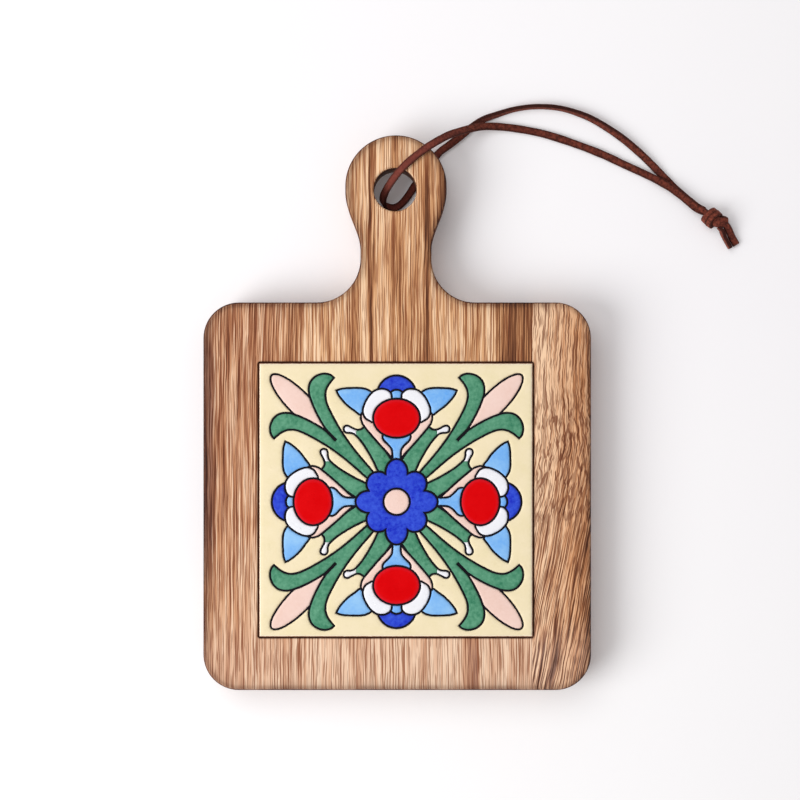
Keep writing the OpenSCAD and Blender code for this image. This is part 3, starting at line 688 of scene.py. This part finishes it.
class Nodes:
    """A node tree with short ways to add and join nodes."""

    def __init__(self, tree):
        self.tree = tree

    def add(self, kind, inputs=None, **settings):
        n = self.tree.nodes.new("ShaderNode" + kind)
        for key, value in settings.items():
            setattr(n, key, value)
        for key, value in (inputs or {}).items():
            self.feed(n.inputs[key], value)
        return n

    def feed(self, socket, value):
        if isinstance(value, bpy.types.NodeSocket):
            self.tree.links.new(value, socket)
        else:
            socket.default_value = value

    def math(self, operation, a, b=0.0, clamp=False):
        return self.add("Math", {0: a, 1: b}, operation=operation, use_clamp=clamp).outputs[0]

    def times(self, a, b):
        return self.math("MULTIPLY", a, b)

    def plus(self, a, b):
        return self.math("ADD", a, b)

    def minus(self, a, b):
        return self.math("SUBTRACT", a, b)

    def stretch(self, value, low, high, to_low=0.0, to_high=1.0):
        """The value, with low to high stretched to to_low to to_high."""
        return self.add("MapRange", {0: value, 1: low, 2: high, 3: to_low, 4: to_high}).outputs[0]

    def blend(self, amount, a, b, how="MIX"):
        return self.add("Mix", {0: amount, 6: a, 7: b}, data_type="RGBA", blend_type=how).outputs[2]

    def stain(self, amount, colour, by):
        """The colour, multiplied by another one as far as the amount says."""
        return self.blend(amount, colour, self.blend(1.0, colour, by, "MULTIPLY"))

    def noise(self, vector, scale, detail=2.0, roughness=0.5):
        return self.add("TexNoise", {"Vector": vector, "Scale": scale, "Detail": detail,
                                     "Roughness": roughness}).outputs[0]

    def ramp(self, value, stops):
        """Turns a value into the greys or the screen colours that stand at some places from 0 to 1."""
        n = self.add("ValToRGB", {0: value})
        while len(n.color_ramp.elements) < len(stops):
            n.color_ramp.elements.new(0.5)
        for element, (at, tone) in zip(n.color_ramp.elements, stops):
            element.position = at
            element.color = paint(*tone) if isinstance(tone, tuple) else (tone, tone, tone, 1)
        return n.outputs[0]

    def vector(self, x, y, z):
        return self.add("CombineXYZ", {0: x, 1: y, 2: z}).outputs[0]

    def place(self):
        """Where a point of the surface lies, in metres."""
        return self.add("TexCoord").outputs["Object"]

    def axes(self, vector):
        return self.add("SeparateXYZ", {0: vector}).outputs

    def number(self, name):
        """A number that the vertices carry."""
        return self.add("Attribute", attribute_name=name).outputs["Fac"]

    def use(self, effect, **values):
        """What an effect puts out for these values."""
        group = self.add("Group", node_tree=effect)
        for key, value in values.items():
            self.feed(group.inputs[key], value)
        return group.outputs

    def dress(self, values, relief=None, strength=0.0, relief_mm=0.0):
        """Feeds the shader's inputs. A relief tilts the surface as bumps of that height would."""
        shader = self.tree.nodes["Principled BSDF"]
        for label, value in values.items():
            self.feed(shader.inputs[label], value)
        if relief is not None:
            bump = self.add("Bump", {"Strength": strength, "Distance": relief_mm * MM, "Height": relief})
            self.feed(shader.inputs["Normal"], bump.outputs[0])


def new_effect(name, inputs, outputs):
    """An empty node group with named inputs and outputs."""
    tree = bpy.data.node_groups.new(name, "ShaderNodeTree")
    for label, value in inputs.items():
        tree.interface.new_socket(label, in_out="INPUT", socket_type="NodeSocketFloat").default_value = value
    for label in outputs:
        tree.interface.new_socket(label, in_out="OUTPUT", socket_type="NodeSocketFloat")
    return Nodes(tree), tree.nodes.new("NodeGroupInput").outputs, tree.nodes.new("NodeGroupOutput").inputs


def new_finish(name):
    """A material with a Principled shader, and its nodes."""
    material = bpy.data.materials.new(name)
    material.use_nodes = True
    return material, Nodes(material.node_tree)


def wear(piece, material):
    """The piece gets this one finish."""
    piece.data.materials.clear()
    piece.data.materials.append(material)


print("helpers ready; a screen's mid grey is", round(paint(128, 128, 128)[0], 3), "as light")

# %% [markdown]
# Sawn wood shows the same fibres at several sizes: broad bands of growth, finer streaks in them, hair-thin
# fibres, and pores that look like short dark dashes. All run along the board. One effect makes the four from
# noise that is stretched along the grain, after bending the grain a little. A band of short crossed dashes can
# be added, as where the fibres lie in waves. Both pieces of wood use the effect with values of their own,
# because they come from different planks.

# %% The grain effect
n, given, made = new_effect(
    "long_grain", {"Wave": 1.0, "Slant": 0.0, "Ripple": 0.0, "Dash": 0.08, "Fine": 1.0, "Hatch": 0.0, "Seed": 0.0},
    ["Across", "Bands", "Streaks", "Fibres", "Lines", "Pores"])
gx, gy, gz = (n.times(axis, 1000.0) for axis in n.axes(n.place()))
below = n.math("MINIMUM", n.plus(gy, 12.0), 0.0)
gx = n.plus(gx, n.times(below, given["Slant"]))


def cloud(x, y, fx, fy, fz=0.05, detail=2.0, rough=0.5, shift=0.0):
    """Noise whose spots are stretched differently across, along and through the wood."""
    z = n.plus(n.times(gz, fz), n.plus(given["Seed"], shift))
    return n.noise(n.vector(n.times(x, fx), n.times(y, fy), z), 1.0, detail, rough)


def around_zero(value, amount):
    """Noise that pushes as far to one side as to the other."""
    return n.times(n.minus(value, 0.5), amount)


bend = n.plus(around_zero(cloud(gx, gy, 0.03, 0.016), 8.0), around_zero(cloud(gx, gy, 0.12, 0.07), 2.4))
bend = n.times(bend, given["Wave"])
ripple = n.times(around_zero(cloud(gx, gy, 0.25, 0.27, 0.1, 1.0), 1.0), given["Ripple"])
ripple = n.times(ripple, n.stretch(gy, -46.0, -16.0))
depth_lean = 0.45  # the growth rings don't stand quite upright in the board
across = n.plus(n.plus(gx, n.plus(bend, ripple)), n.times(gz, depth_lean))
bands = cloud(across, gy, 0.17, 0.004, 0.03, 2.0)
streaks = cloud(across, gy, 0.55, 0.016, 0.12, 3.0, 0.6, 4.0)
dashed, fine = n.times(gy, given["Dash"]), n.times(across, given["Fine"])
fibres = cloud(fine, dashed, 1.4, 1.0, 0.5, 1.5, 0.6, 8.0)
lines = n.stretch(cloud(fine, dashed, 1.35, 1.3, 0.4, 0.5, 0.5, 12.0), 0.54, 0.62)
pores = n.stretch(cloud(fine, dashed, 1.6, 4.0, 1.2, 0.5, 0.5, 16.0), 0.56, 0.66)
leaning = [cloud(n.plus(fine, n.times(gy, lean)), gy, 1.3, 0.2, 0.4, 0.0, 0.5, shift)
           for lean, shift in ((0.24, 20.0), (-0.24, 24.0))]
hatch = n.stretch(n.math("MAXIMUM", *leaning), 0.59, 0.67)
middle = n.stretch(n.math("ABSOLUTE", n.plus(gy, 20.0)), 34.0, 20.0)
middle = n.times(middle, given["Hatch"])
lines = n.times(lines, n.minus(1.0, n.times(middle, 0.35)))
lines = n.math("MAXIMUM", lines, n.times(hatch, middle))
for label, value in zip(made.keys(), (across, bands, streaks, fibres, lines, pores)):
    n.feed(made[label], value)
grain = n.tree
print("grain effect nodes:", len(grain.nodes))

# %% [markdown]
# The main plank is a pale, golden wood with bold brown streaks down the handle, pinker and finer on the left.
# A ramp across the board says where the dark streaks lie, the grain effect roughens them, and a second ramp
# turns the result into wood colours. The toast number darkens the rounded edge, and paints shade onto the walls
# of the hanging hole and the pocket.

# %% Wood for the plank
patch_x, patch_y, patch_wide, patch_long = 0.0155, 0.086, 0.007, 0.022  # a dark oval beside the hanging hole


def toasted_and_shaded(n, colour, strength):
    """Darkens the colour where the toast number is high: toast along the board's edge, painted shade on the walls of
    the hanging hole and the pocket.
    """
    spotty = n.noise(n.place(), 90.0, 3.0)
    mask = n.times(n.number("toast_and_shade"), n.stretch(spotty, 0.3, 0.7, 0.7, 1.2))
    return n.stain(n.math("MULTIPLY", mask, strength, clamp=True), colour, paint(92, 54, 38))


def wood(name, effect_values, top_tones, low_tones, left_colours, right_colours, turn, low_turn, toast_and_shade_strength,
         contrast, low_contrast, line_colour):
    """Wood whose tones run across the board, one set above and one below, and whose colours turn from left to right."""
    material, n = new_finish(name)
    g = n.use(grain, **effect_values)
    x, y, _ = n.axes(n.place())
    upper = n.stretch(y, -0.060, 0.0)
    where = n.stretch(g["Across"], -76, 76)
    tone = n.blend(upper, n.ramp(where, low_tones), n.ramp(where, top_tones))

    # the dark oval, the paler end of the handle, and the bands
    aside, along = n.times(n.minus(x, patch_x), 1 / patch_wide), n.times(n.minus(y, patch_y), 1 / patch_long)
    away = n.plus(n.times(aside, aside), n.times(along, along))
    tone = n.minus(tone, n.stretch(away, 1.4, 0.3, 0.0, 0.36))
    tone = n.plus(tone, n.stretch(y, 0.066, 0.09, 0.0, 0.14))
    tone = n.plus(tone, n.stretch(g["Bands"], 0.25, 0.75, -0.12, 0.12))

    # streaks and fibres, calmer towards the bottom
    streaky = n.plus(n.stretch(g["Streaks"], 0.3, 0.7, -0.22 * contrast, 0.22 * contrast),
                     n.stretch(g["Fibres"], 0.34, 0.66, -0.34 * contrast, 0.34 * contrast))
    tone = n.plus(tone, n.times(streaky, n.stretch(y, -0.086, -0.06, low_contrast, 1.0)))

    colour = n.blend(n.times(n.stretch(x, *turn), n.math("MAXIMUM", upper, low_turn)),
                     n.ramp(tone, left_colours), n.ramp(tone, right_colours))
    colour = n.blend(n.stretch(y, -0.08, -0.094, 0.0, 0.13), colour, paint(253, 226, 210))
    dark = n.math("MAXIMUM", n.times(g["Lines"], 0.85), n.times(g["Pores"], 0.6))
    colour = n.stain(dark, colour, line_colour)

    # a scorched band along the left edge
    ragged = n.plus(x, n.stretch(g["Streaks"], 0.3, 0.7, -0.0008, 0.0008))
    reach = n.times(n.stretch(y, 0.042, 0.024), n.stretch(y, -0.08, -0.05))
    scorch = n.times(n.stretch(ragged, -0.0715, -0.0734), reach)
    colour = n.stain(n.times(scorch, 0.85), colour, paint(164, 138, 138))

    n.dress({"Base Color": toasted_and_shaded(n, colour, toast_and_shade_strength), "Specular IOR Level": 0.2,
             "Roughness": n.stretch(g["Fibres"], 0.2, 0.8, 0.7, 0.55)},
            n.minus(n.times(g["Fibres"], 0.6), g["Pores"]), 0.5, 0.12)
    return material


golden = [(0.0, (106, 62, 36)), (0.22, (152, 98, 62)), (0.45, (200, 142, 96)), (0.7, (232, 181, 134)),
          (1.0, (252, 216, 178))]
rosy = [(0.0, (104, 56, 32)), (0.25, (150, 90, 58)), (0.5, (200, 142, 102)), (0.75, (229, 183, 147)),
        (1.0, (248, 216, 185))]
top_tones = [(0.0, 0.3), (0.06, 0.46), (0.12, 0.54), (0.25, 0.56), (0.266, 0.3), (0.286, 0.3), (0.298, 0.62),
             (0.345, 0.68), (0.384, 0.7), (0.408, 0.8), (0.427, 0.72), (0.435, 0.4), (0.448, 0.42), (0.456, 0.86),
             (0.471, 0.82), (0.479, 0.3), (0.491, 0.32), (0.5, 0.82), (0.532, 0.78), (0.541, 0.38), (0.558, 0.38),
             (0.568, 0.7), (0.604, 0.66), (0.618, 0.38), (0.634, 0.38), (0.645, 0.74), (0.8, 0.74), (0.825, 0.2),
             (0.9, 0.2)]
low_tones = [(0.0, 0.3), (0.05, 0.56), (0.12, 0.66), (0.3, 0.78), (0.431, 0.84), (0.437, 0.66), (0.446, 0.66),
             (0.452, 0.86), (0.486, 0.86), (0.491, 0.7), (0.498, 0.7), (0.503, 0.9), (0.6, 0.88), (0.715, 0.84),
             (0.724, 0.32), (0.756, 0.32), (0.765, 0.88), (0.85, 0.85), (1.0, 0.8)]
plank_wood = wood("plank_wood", {"Wave": 0.32, "Dash": 0.028, "Fine": 1.75, "Seed": 3.1}, top_tones, low_tones, rosy,
                  golden, turn=(-0.053, -0.029), low_turn=0.0, toast_and_shade_strength=1.0, contrast=1.08, low_contrast=0.62,
                  line_colour=paint(156, 108, 78))
wear(plank, plank_wood)
print("plank wood nodes:", len(plank_wood.node_tree.nodes))

# %% [markdown]
# The strip on the right is a different piece. Its grain is wavy at the top, has short crossed dashes beside the
# tile and runs in long lines at a slight slant below, pinkish near the tile and more golden at the outer edge.

# %% Wood for the edge strip
strip_tones = [(0.0, 0.6), (0.84, 1.3), (0.9, 1.3), (0.95, 1.15), (1.0, 0.8)]
low_strip_tones = [(0.0, 0.6), (0.84, 1.13), (0.93, 1.06), (0.97, 0.87), (1.0, 0.71)]
pinkish = [(0.0, (108, 60, 38)), (0.25, (154, 98, 68)), (0.5, (204, 150, 112)), (0.75, (238, 187, 146)),
           (1.0, (253, 213, 175))]
honey = [(0.0, (100, 56, 30)), (0.25, (146, 92, 56)), (0.5, (189, 127, 84)), (0.75, (216, 155, 109)),
         (1.0, (237, 186, 143))]
strip_wood = wood("strip_wood", {"Wave": 0.5, "Slant": -0.17, "Ripple": 1.0, "Dash": 0.045, "Fine": 1.6, "Hatch": 1.0,
                                 "Seed": 11.7}, strip_tones, low_strip_tones, pinkish, honey,
                  turn=(0.058, 0.07), low_turn=1.0, toast_and_shade_strength=0.9, contrast=1.95, low_contrast=1.35,
                  line_colour=paint(124, 80, 56))
wear(stave, strip_wood)
print("strip wood nodes:", len(strip_wood.node_tree.nodes))

# %% [markdown]
# Glaze is coloured glass melted onto clay. It isn't one flat colour: it breaks thinner and darker at the rim,
# it mottles where the grains of colour didn't quite mix, and it has a few pinholes. One effect gives these
# three as values, because colours would tie it to one glaze. The red's paler, pinker rim is a painted highlight.

# %% The glaze effect
n, given, made = new_effect("glaze_mottle", {"Grain": 900.0, "Cloud": 120.0},
                            ["Grains", "Clouds", "Pinholes", "Rim"])
place = n.place()
n.feed(made["Grains"], n.stretch(n.noise(place, given["Grain"], 3.0, 0.6), 0.3, 0.7))
n.feed(made["Clouds"], n.stretch(n.noise(place, given["Cloud"], 3.0, 0.55), 0.3, 0.7))
dots = n.add("TexVoronoi", {"Vector": place, "Scale": 260.0, "Randomness": 1.0})
n.feed(made["Pinholes"], n.stretch(dots.outputs["Distance"], 0.1, 0.04))
n.feed(made["Rim"], n.math("SUBTRACT", 1.0, n.number("depth"), clamp=True))
mottle = n.tree
print("glaze effect nodes:", len(mottle.nodes))

# %% [markdown]
# Each colour blends three of its own tones by the values of the effect. Green and cobalt are grainy and break
# pale, red is nearly even, and cream turns paler within the last millimetre before the tile's edge.

# %% A glaze for each colour
def glaze(name, body, pale, deep, grains, clouds, rim, pinholes=0.1, grain_size=900.0, cloud_size=120.0,
          pale_edge=False, shine=0.12):
    """A glaze from three screen colours and the strengths of what makes it uneven."""
    material, n = new_finish(name)
    g = n.use(mottle, Grain=grain_size, Cloud=cloud_size)
    colour = n.blend(n.times(g["Clouds"], clouds), paint(*body), paint(*pale))
    for label, amount, other in (("Grains", grains, pale), ("Rim", rim, deep), ("Pinholes", pinholes, deep)):
        colour = n.blend(n.times(g[label], amount), colour, paint(*other))
    # the cream turns paler in the last millimetre before the tile's edge
    if pale_edge:
        x, y, _ = n.axes(n.place())
        aside, along = (n.math("ABSOLUTE", n.minus(axis, middle * MM)) for axis, middle in zip((x, y), tile_middle))
        edge = n.stretch(n.math("MAXIMUM", aside, along), tile_width / 2 * MM - 0.0009, tile_width / 2 * MM - 0.0004)
        colour = n.blend(n.times(edge, 0.8), colour, paint(255, 246, 226))
    n.dress({"Base Color": colour, "Roughness": n.stretch(g["Clouds"], 0, 1, 0.3, 0.42), "Specular IOR Level": shine},
            n.minus(n.times(g["Clouds"], 0.6), g["Pinholes"]), 0.25, 0.08)
    return material


# Each row: body, pale and deep colour, then how strong grains, clouds and rim are, and what else is special
glaze_rows = {
    "cream": ((242, 227, 184), (250, 235, 202), (238, 222, 184), 0.4, 0.7, 0.35, {"pale_edge": True}),
    "green": ((32, 112, 80), (116, 180, 146), (48, 112, 86), 0.65, 0.5, 0.3, {"pinholes": 0.0, "grain_size": 700.0}),
    # red's rim colour, paler and pinker than its body, is a painted highlight round each red pool
    "red": ((218, 1, 6), (232, 12, 18), (212, 34, 50), 0.3, 0.5, 0.7,
            {"pinholes": 0.0, "grain_size": 700.0, "shine": 0.03}),
    "cobalt": ((2, 18, 186), (70, 106, 236), (24, 34, 164), 0.65, 0.4, 0.35, {"grain_size": 700.0}),
    "sky": ((94, 166, 244), (170, 217, 252), (124, 178, 238), 0.3, 0.7, 0.35,
            {"pinholes": 0.0, "grain_size": 800.0, "cloud_size": 70.0}),
    "white": ((241, 243, 250), (250, 250, 254), (232, 232, 242), 0.4, 0.6, 0.3, {}),
    "blush": ((240, 203, 188), (252, 224, 214), (236, 208, 196), 0.4, 0.7, 0.35,
              {"pinholes": 0.0, "grain_size": 800.0, "cloud_size": 60.0})}
glazes = {c: glaze(f"{c}_glaze", *row[:-1], **row[-1]) for c, row in glaze_rows.items()}
for c, piece in pools.items():
    wear(piece, glazes[c])
wear(cream_edge, glazes["cream"])
print("glazes:", len(glazes))

# %% [markdown]
# The dark lines are bare ground between the pools, dull and slightly sandy. The clay shows only as a thin
# rim round the tile. The adhesive is hidden, but it still gets a skin, in case someone takes the tile out.

# %% Ground, clay and adhesive
def sandy(name, colour, other, rough, size, gloss=0.3):
    """A dull finish with fine specks."""
    material, n = new_finish(name)
    speckle = n.stretch(n.noise(n.place(), size, 4.0, 0.65), 0.3, 0.7)
    n.dress({"Base Color": n.blend(speckle, colour, other), "Specular IOR Level": gloss,
             "Roughness": n.stretch(speckle, 0, 1, rough, rough + 0.15)}, speckle, 0.4, 0.03)
    return material


wear(nodes["line_ground"], sandy("dark_ground", paint(8, 7, 14), paint(26, 22, 30), 0.7, 1400.0, 0.08))
wear(nodes["tile_body"], sandy("fired_clay", paint(150, 96, 70), paint(124, 78, 56), 0.75, 700.0))
wear(nodes["adhesive_bed"], sandy("adhesive", paint(226, 224, 214), paint(206, 204, 194), 0.5, 300.0))
print("plain finishes: 3")

# %% [markdown]
# Suede is leather's rough inner side. Its short nap scatters light, so it looks soft and a little paler where
# the light grazes it, and the nap lies in small patches that are lighter or darker.

# %% Suede for the lace
suede, n = new_finish("brown_suede")
place = n.place()
patches = n.stretch(n.noise(place, 950.0, 2.0, 0.6), 0.36, 0.64)
nap = n.stretch(n.noise(place, 2600.0, 3.0, 0.7), 0.3, 0.7)
worn = n.stretch(n.noise(place, 70.0, 2.0, 0.5), 0.4, 0.65)
# The cut sides are darkened almost to black: partly the cut leather's own darker colour, partly painted shade in the
# creases between strands.
cut_edge_and_crease_shade = n.stretch(n.number("cut_side_and_crease_shade"), 0.1, 0.95)
x = n.axes(place)[0]
near_hole, at_knot = n.stretch(x, 0.03, 0.004, 0.0, 0.55), n.stretch(x, 0.118, 0.124, 0.25, 0.0)
colour = n.blend(patches, paint(48, 17, 14), paint(136, 67, 51))
for amount, other in ((n.times(nap, 0.25), paint(158, 88, 66)), (n.times(worn, 0.3), paint(92, 38, 32)),
                      (near_hole, paint(150, 78, 68)), (at_knot, paint(58, 22, 18)),
                      (n.times(cut_edge_and_crease_shade, 0.85), paint(34, 12, 10))):
    colour = n.blend(amount, colour, other)
n.dress({"Base Color": colour, "Roughness": n.stretch(nap, 0, 1, 0.85, 0.98), "Specular IOR Level": 0.15,
         "Sheen Weight": 0.4, "Sheen Roughness": 0.45, "Sheen Tint": paint(200, 130, 115)},
        n.plus(n.times(nap, 0.6), n.times(patches, 0.6)), 0.8, 0.18)
for piece in [lace] + knot_pieces + tails:
    wear(piece, suede)
print("suede nodes:", len(suede.node_tree.nodes))

# %% [markdown]
# Stick-on feet are cast from clear silicone, which is a little milky inside. Light goes partly through it, so
# it takes on the colour of what lies under it.

# %% Clear silicone for the feet
silicone, n = new_finish("clear_silicone")
cloudy = n.stretch(n.noise(n.place(), 500.0, 3.0, 0.5), 0.3, 0.7)
n.dress({"Base Color": n.blend(cloudy, paint(232, 232, 230), paint(214, 216, 216)),
         "Roughness": n.stretch(cloudy, 0, 1, 0.25, 0.4), "Transmission Weight": 0.6, "IOR": 1.41})
for piece in bumpers:
    wear(piece, silicone)
print("silicone on", len(bumpers), "feet")

# %% [markdown]
# The floor is a wide pale sheet. In the photograph it is almost white, and it takes a soft grey shadow to the
# right of the board and above it. The floor's own colour makes it pale, so the lamps needn't be too strong.
# It also glows, as painted light: faintly beside the board, where the glow lightens the board's shadow, and
# more strongly far away, where the lamps hardly reach, so that a low view ends in white too.

# %% Floor
floor_mesh = bpy.data.meshes.new("floor")
floor_mesh.from_pydata([(-6, -6, 0), (6, -6, 0), (6, 6, 0), (-6, 6, 0)], [], [(0, 1, 2, 3)])
floor = new_object("floor", floor_mesh)
floor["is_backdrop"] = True
floor_paint, n = new_finish("floor_paint")
place = n.place()
mist = n.stretch(n.noise(place, 3.0, 2.0), 0.3, 0.7)
x, y, _ = n.axes(place)
away = n.math("SQRT", n.plus(n.times(x, x), n.times(y, y)))
# the floor glows as painted light: faintly near the board, lightening its shadow, and more strongly far off
glow = n.blend(n.stretch(away, 0.3, 1.5), (0.11, 0.104, 0.104, 1), (1.0, 0.98, 0.98, 1))
n.dress({"Base Color": n.blend(mist, paint(249, 248, 251), paint(252, 252, 253)), "Roughness": 0.9,
         "Specular IOR Level": 0.1, "Emission Strength": 0.62,
         "Emission Color": n.blend(n.times(mist, 0.05), glow, (0.12, 0.12, 0.12, 1))})
floor.data.materials.append(floor_paint)
print("floor is", round(floor.dimensions.x, 1), "m wide")

# %% [markdown]
# A large soft lamp stands low at the left, towards the bottom of the picture, so that shadows fall to the
# upper right. The sky around fills them. Together they light a surface about as strongly as its colour is
# written, so a colour comes out as it was chosen.

# %% Light
def lamp(name, place, size, power):
    """A round soft lamp that looks at the board."""
    light = bpy.data.lights.new(name, "AREA")
    light.shape, light.size, light.energy = "DISK", size, power
    o = new_object(name, light)
    o.location = place
    o.rotation_euler = (Vector((0, 0, 0.01)) - Vector(place)).to_track_quat("-Z", "Y").to_euler()
    return o


key = lamp("key", (-1.05, -0.4, 0.9), 1.05, 15.0)
fill = lamp("fill", (-0.45, 0.55, 1.2), 1.1, 5.2)
world = bpy.data.worlds.new("studio")
world.use_nodes = True
bpy.context.scene.world = world
n = Nodes(world.node_tree)
background = world.node_tree.nodes["Background"]
rays = n.add("LightPath").outputs
seen = n.math("MAXIMUM", rays["Is Camera Ray"], n.math("MAXIMUM", rays["Is Glossy Ray"], rays["Is Transmission Ray"]))
n.feed(background.inputs["Color"], n.blend(seen, (1.0, 0.965, 0.96, 1), (0.95, 0.95, 0.96, 1)))
n.feed(background.inputs["Strength"], n.stretch(seen, 0, 1, 0.385, 1.0))
bpy.context.scene.view_settings.view_transform = "Standard"
print("lamps:", key.name, fill.name)

# %% [markdown]
# Last, the size of the dressed model is printed.

# %% Finish
low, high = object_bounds()
print("dressed:", [round(c, 4) for c in (*low, *high)])
